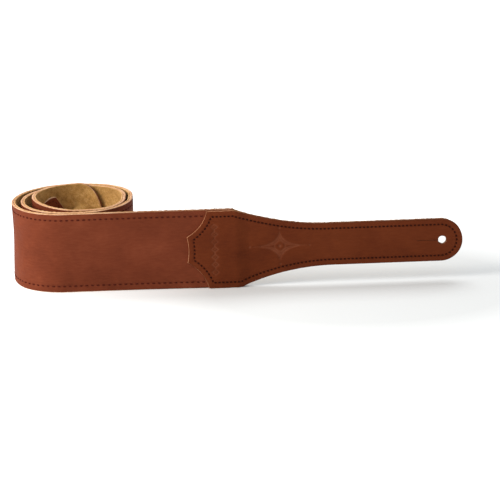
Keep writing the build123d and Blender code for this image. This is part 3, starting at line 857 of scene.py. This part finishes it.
# The tab's cut edge is painted darker towards the tip.
tab_marks = {"rim": np.clip(distance_to(TAB_LINE, T_S, T_Z - MID) / 10, 0, 1), "pressed": pressed(T_S, T_Z),
             "darker_edge": 0.85 * smooth((T_S - TAPER + 12) / 30)}
front_tab = shell("front_tab_face", T_S, T_Z, tab_at, tab_mask, [tab_leather, flesh, tab_edge], tab_marks,
                  tab_round, 0.05, seed=31, hole=(HOLE_AT, MID))
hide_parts("front_tab_leather")

# ---- seams ----
TAB_PITCH = 3.08
tab_s, tab_z, tab_length = loop_at(SEAM_LINE)
on_tab = on_surface(tab_s, tab_seam_z, lambda t: -LEATHER + 0.22 + step_back(tab_s(t)), 1)
needle = stitches("tab_seam_stitches_front", on_tab, tab_length, TAB_PITCH, tab_thread, (0.68, 0.46),
                  0.08, 1.0)
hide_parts("tab_seam_needle_thread")
bobbin = stitches("tab_seam_stitches_back", on_surface(tab_s, tab_seam_z, lambda t: THICK - 0.12 + 0 * t, -1),
                  tab_length, TAB_PITCH, nap_thread, (0.42, 0.3), 0.02, 0.75)
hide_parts("tab_seam_bobbin_thread")


def strap_seam():
    """The strap's seam line in (s, height from the middle), from the tab's top round the rear and back."""
    far = 150.0  # past the seam's end, under the tab
    s = np.linspace(-ROLLED, far, 3000)
    top = np.stack([s, rear_half(s)], -1)
    right = np.stack([np.full(60, far), np.linspace(MID, -MID, 60)], -1)
    left = np.stack([np.full(20, -ROLLED), np.linspace(-5.75, 5.75, 20)], -1)
    line = even(np.concatenate([left, top, right, top[::-1] * [1, -1]]), 2600)
    moved = beside(line, EDGE_INSET)
    near = distance_to(line, moved[:, 0], moved[:, 1])
    moved = moved[near > EDGE_INSET - 0.25]
    keep = moved[:, 0] < SEAM_END
    first = np.argmax(~keep)
    moved, keep = np.roll(moved, -first, axis=0), np.roll(keep, -first)
    return moved[keep][::-1]


SEAM = strap_seam()
seam_at = lengths(SEAM)


def seam_s(t):
    return np.interp(t, seam_at, SEAM[:, 0])


def seam_z(t):
    return MID + np.interp(t, seam_at, SEAM[:, 1])


for name, depth, facing, thread, nodes in (
    ("edge_seam_stitches_outside", 0.3, 1, dark_thread,
     ("edge_seam_needle_thread_roll", "edge_seam_needle_thread_run_low", "edge_seam_needle_thread_run_high")),
    ("edge_seam_stitches_inside", THICK - 0.3, -1, nap_thread,
     ("edge_seam_bobbin_thread_roll", "edge_seam_bobbin_thread_run_low", "edge_seam_bobbin_thread_run_high")),
):
    on_strap = on_surface(seam_s, seam_z, lambda t, d=depth: d + 0 * t, facing)
    size, lift = ((0.62, 0.44), 0.08) if facing > 0 else ((0.4, 0.3), -0.12)
    row = stitches(name, on_strap, seam_at[-1], PITCH, thread, size, lift, 1.7)
    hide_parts(*nodes)
    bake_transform(row)
for piece in (needle, bobbin):
    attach(piece, "front_run")
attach(front_tab, "front_run")
for piece in (strap_leather, suede_band):
    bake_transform(piece)


def fuzz(name, patches, seed=61):
    """Loose suede fibres that stand up along the top edge. patches are (from s, to s, how many)."""
    r = np.random.default_rng(seed)
    verts, faces, uv = [], [], []
    for start, stop, count in patches:
        for _ in range(count):
            at, depth = start + (stop - start) * r.beta(1.6, 1.6), LEATHER + SUEDE * r.uniform(0.1, 0.95)
            top = MID + min(float(tab_half(at)), MID) - 0.3
            root = place(at, depth, set_low(at, top) if at > STRAP_END else top)
            lean = np.array([r.normal(0, 0.45), r.normal(0, 0.35), 1.0])
            curl = np.array([r.normal(0, 0.4), r.normal(0, 0.3), -0.2])
            long, thick = r.uniform(0.7, 1.9) * MM, r.uniform(0.05, 0.1) * MM
            first = len(verts)
            for k, t in enumerate((0.0, 0.4, 0.75, 1.0)):
                centre = root + (lean * t + curl * t * t) * long
                for a in range(3):
                    angle = 2 * math.pi * a / 3
                    round_it = np.array([math.cos(angle), math.sin(angle), 0.0])
                    verts.append(centre + thick * (1 - 0.8 * t) * round_it)
                    uv.append((at * MM, t * 0.002))
            for k in range(3):
                for a in range(3):
                    p, q = first + 3 * k + a, first + 3 * k + (a + 1) % 3
                    faces.append((p, q, q + 3, p + 3))
            faces.extend([(first + 2, first + 1, first), (first + 9, first + 10, first + 11)])
    return make(name, verts, faces, nap, uv)


fibres = fuzz("suede_fuzz", ((107, 131, 70), (196, 226, 60), (268, 298, 60)))
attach(fibres, "front_run")

# ---- the adjuster tail ----
TAIL_R, TAIL_LEATHER, TAIL_LINING = 31.5, 1.4, 1.0
TAIL_MIDDLE, TAIL_TIP, TAIL_END = -52.0, -71.85, 170.0
TAIL_MID = 39.5  # height of the tab's middle
TAB_HALF, TAB_ROUND, STRIP_HALF = 17.2, 6.5, 10.0  # half heights, and how far round the tab's free end is
TAIL_NECK, TAIL_CORNER = (6.8, 17.7), 8.0
TAIL_SLITS, TAIL_SLIT_TURN, SLIT_SHARE = (60.0, 88.0, 116.0, 144.0), 18.0, 0.12
TAIL_INSET, TAIL_PITCH = 3.0, 3.6  # of its seam
DEG = math.pi / 180 * TAIL_R  # millimetres round the tail's outer face for one degree


def tail_shape(u):
    """(middle height, half height) of the tail at u, millimetres round from the core's back."""
    x = -TAIL_R * np.sin(np.radians(u / DEG - TAIL_MIDDLE))
    back = u / DEG > TAIL_MIDDLE + 80
    middle = np.interp(-x, TAIL_NECK, [TAIL_MID, MID])
    half = np.interp(-x, TAIL_NECK, [TAB_HALF, STRIP_HALF])
    rounded = np.sqrt(np.clip(TAB_HALF**2 - (x + TAB_ROUND) ** 2, 0, None))
    half = np.where(x > -TAB_ROUND, rounded, half)
    middle, half = np.where(back, MID, middle), np.where(back, STRIP_HALF, half)
    left = np.clip(TAIL_CORNER - (TAIL_END * DEG - u), 0, TAIL_CORNER)
    return middle, half - (TAIL_CORNER - np.sqrt(TAIL_CORNER**2 - left**2))


TAB_BENDS_AT, TAB_BEND, TAB_BEND_OVER = -16.0 * DEG, math.radians(17), 7.0


def tail_place(u, depth, z):
    """Points of the tail: round the roll's inside, and past a short bend its stiff wide end, straight."""
    u, depth, z = np.broadcast_arrays(np.asarray(u, float), np.asarray(depth, float), np.asarray(z, float))
    past = np.clip(TAB_BENDS_AT - u, 0, None)
    angle = np.maximum(u, TAB_BENDS_AT) / DEG / 180 * math.pi
    x, y = TAIL_R * np.sin(angle), TAIL_R * np.cos(angle)
    first = math.radians(TAB_BENDS_AT / DEG)
    steps = 12
    for k in range(steps):  # the bend, in short straight steps
        turn = -first + TAB_BEND * (k + 0.5) / steps
        go = np.clip(past - TAB_BEND_OVER * k / steps, 0, TAB_BEND_OVER / steps)
        x, y = x - go * math.cos(turn), y - go * math.sin(turn)
    rest = np.clip(past - TAB_BEND_OVER, 0, None)
    turn = -first + TAB_BEND
    x, y = x - rest * math.cos(turn), y - rest * math.sin(turn)
    heading = np.where(past > 0, -first + TAB_BEND * np.clip(past / TAB_BEND_OVER, 0, 1), -angle)
    x, y = x + depth * np.sin(heading), y - depth * np.cos(heading)
    return np.stack([(CORE_C[0] + x) * MM, (CORE_C[1] + y) * MM, (z + 2.2 * smooth(past / 18)) * MM], -1)


tip_u, end_u = TAIL_TIP * DEG, TAIL_END * DEG
tail_u = np.concatenate([tip_u + TAB_HALF * (1 - np.cos(np.linspace(0.12, 1.2, 22))),
                         np.arange(tip_u + 11.5, end_u - 8.1, 0.7),
                         end_u - TAIL_CORNER + TAIL_CORNER * np.sin(np.linspace(0, math.pi / 2, 12))])
snap(tail_u, [(a + sign * TAIL_SLIT_TURN / 2) * DEG for a in TAIL_SLITS for sign in (-1, 1)])
tail_v = snap(np.linspace(-1, 1, 42), (-SLIT_SHARE, -0.0175, SLIT_SHARE, 0.0175))
U, TV = np.meshgrid(tail_u, tail_v, indexing="ij")
tail_mid, tail_half = tail_shape(U)
TZ = tail_mid + TV * tail_half
cu, cv = cell_middle(U), cell_middle(TV)
tail_mask = np.ones(cu.shape, bool)
for a in TAIL_SLITS:
    tail_mask &= ~((np.abs(cu / DEG - a) < TAIL_SLIT_TURN / 2) & (np.abs(cv) < SLIT_SHARE))
hole_u = TAIL_MIDDLE * DEG
U, TZ, tail_mask, tail_round = with_hole(U, TZ, tail_mask, hole_u, TAIL_MID, 0.0)
tail_marks = {"rim": np.clip((tail_half - np.abs(TZ - tail_mid)) / 10, 0, 1), "pressed": 0 * U, "darker_edge": 0 * U}
TAIL_THICK = TAIL_LINING + TAIL_LEATHER
for name, node, outer, inner, skins, slot_name in (
    ("tail_lining_sheet", "tail_lining", 0.0, TAIL_LINING - APART, [nap, nap, suede_edge], "suede"),
    ("tail_leather_strip", "tail_leather", TAIL_LINING, TAIL_THICK, [flesh, tail_face, leather_edge],
     "tail_leather"),
):
    sheet = shell(name, U, TZ, lambda s, z, t, o=outer, i=inner: tail_place(s, o + (i - o) * t, z), tail_mask,
                  skins, tail_marks, tail_round, 0.05, seed=41, hole=(hole_u, TAIL_MID))
    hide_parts(node)
    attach(sheet, "adjuster_tail")


def tail_seam():
    u = np.concatenate([tip_u + TAB_HALF * (1 - np.cos(np.linspace(0.0, 1.3, 200))),
                        np.linspace(tip_u + 13, end_u, 900)])
    middle, half_height = tail_shape(u)
    top = np.stack([u, middle + half_height - MID], -1)
    bottom = np.stack([u, middle - half_height - MID], -1)[::-1]
    line = even(np.concatenate([top, bottom]), 1600)
    moved = beside(line, TAIL_INSET)
    return even(moved[distance_to(line, moved[:, 0], moved[:, 1]) > TAIL_INSET - 0.15], 900)


tail_s, tail_z, tail_length = loop_at(tail_seam())


def tail_line(depth, facing):
    """A line_at for stitches along the tail's seam; facing is 1 on its lining."""
    def line_at(t):
        point, ahead, behind = (tail_place(tail_s(at), depth, tail_z(at)) for at in (t, t + 0.05, t - 0.05))
        along = (ahead - behind) / np.linalg.norm(ahead - behind, axis=-1)[:, None]
        out = tail_place(tail_s(t), depth - 1, tail_z(t)) - point
        out = out - along * (out * along).sum(-1)[:, None]
        return point, along, facing * out / np.linalg.norm(out, axis=-1)[:, None]
    return line_at


for name, node, depth, facing in (
    ("tail_seam_stitches_outside", "tail_seam_bobbin_thread", 0.1, 1),
    ("tail_seam_stitches_inside", "tail_seam_needle_thread", TAIL_THICK - 0.1, -1),
):
    row = stitches(name, tail_line(depth, facing), tail_length, TAIL_PITCH, dark_thread, (0.36, 0.24), 0, 0.9)
    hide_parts(node)
    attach(row, "adjuster_tail")


# ---- floor, light and camera ----
m, n, shader = material("pale_floor_painted_glow")
where = n.add("ShaderNodeTexCoord").outputs["Object"]
greys = n.ramp(n.noise(where, 3.0, 3.0), [(0.3, (0.73, 0.755, 0.765)), (0.7, (0.75, 0.775, 0.785))])
# The floor glows, as painted light: none near a point under the free end, so its shadow shows, up to 0.5
# further out, which lights away the shadow by the coil and keeps the far floor white.
round_it = n.mapping(where, (0.75, 1, 1), (-0.075, 0.06, 0))
away = n.add("ShaderNodeVectorMath", {0: round_it}, operation="LENGTH").outputs["Value"]
n.feed(shader, {"Base Color": greys, "Roughness": 0.95, "Specular IOR Level": 0.0,
                "Emission Color": (1, 1, 1, 1), "Emission Strength": n.scale(away, 0.09, 0.2, 0.0, 0.5)})
FLOOR_HALF, FLOOR_TOP = 6, -0.0002  # metres
corners = [(FLOOR_HALF * x, FLOOR_HALF * y, FLOOR_TOP) for x, y in ((-1, -1), (1, -1), (1, 1), (-1, 1))]
floor = make("floor", corners, [(0, 1, 2, 3)], m)

bpy.context.scene.view_settings.view_transform = "Standard"
world = bpy.data.worlds.new("studio")
bpy.context.scene.world = world
world.use_nodes = True
world.node_tree.nodes["Background"].inputs["Color"].default_value = (1, 1, 1, 1)
world.node_tree.nodes["Background"].inputs["Strength"].default_value = 0.56


def area_light(name, where, at, size, power, colour=(1, 1, 1)):
    data = bpy.data.lights.new(name, "AREA")
    data.shape, data.size, data.size_y = "RECTANGLE", size[0], size[1]
    data.energy, data.color = power, colour
    light = bpy.data.objects.new(name, data)
    bpy.context.scene.collection.objects.link(light)
    light.location = where
    light.rotation_euler = (Vector(at) - Vector(where)).to_track_quat("-Z", "Y").to_euler()


area_light("key", (-0.95, -0.35, 0.6), (-0.05, 0, 0.03), (0.5, 0.5), 13.0, (1, 0.93, 0.86))
area_light("back", (0.15, 2.0, 3.4), (0.05, 0, 0.03), (3.0, 2.2), 68)

AZ, EL, ROLL_ANGLE = math.radians(-0.955), math.radians(16.271), math.radians(-1.857)
DISTANCE, FOCAL = 1.6, 1983.3
forward = Vector((-math.sin(AZ) * math.cos(EL), math.cos(AZ) * math.cos(EL), -math.sin(EL)))
target = Vector((10.996, -3.75, 16.449)) * MM
camera_data = bpy.data.cameras.new("camera")
camera_data.sensor_width = 36
camera_data.lens = FOCAL * 36 / 500
camera = bpy.data.objects.new("camera", camera_data)
bpy.context.scene.collection.objects.link(camera)
level = Vector((math.cos(AZ), math.sin(AZ), 0))
above = level.cross(forward)
right = math.cos(ROLL_ANGLE) * level + math.sin(ROLL_ANGLE) * above
up = -math.sin(ROLL_ANGLE) * level + math.cos(ROLL_ANGLE) * above
turned = Matrix((right, up, -forward)).transposed().to_4x4()
camera.matrix_world = Matrix.Translation(target - forward * DISTANCE) @ turned
bpy.context.scene.camera = camera
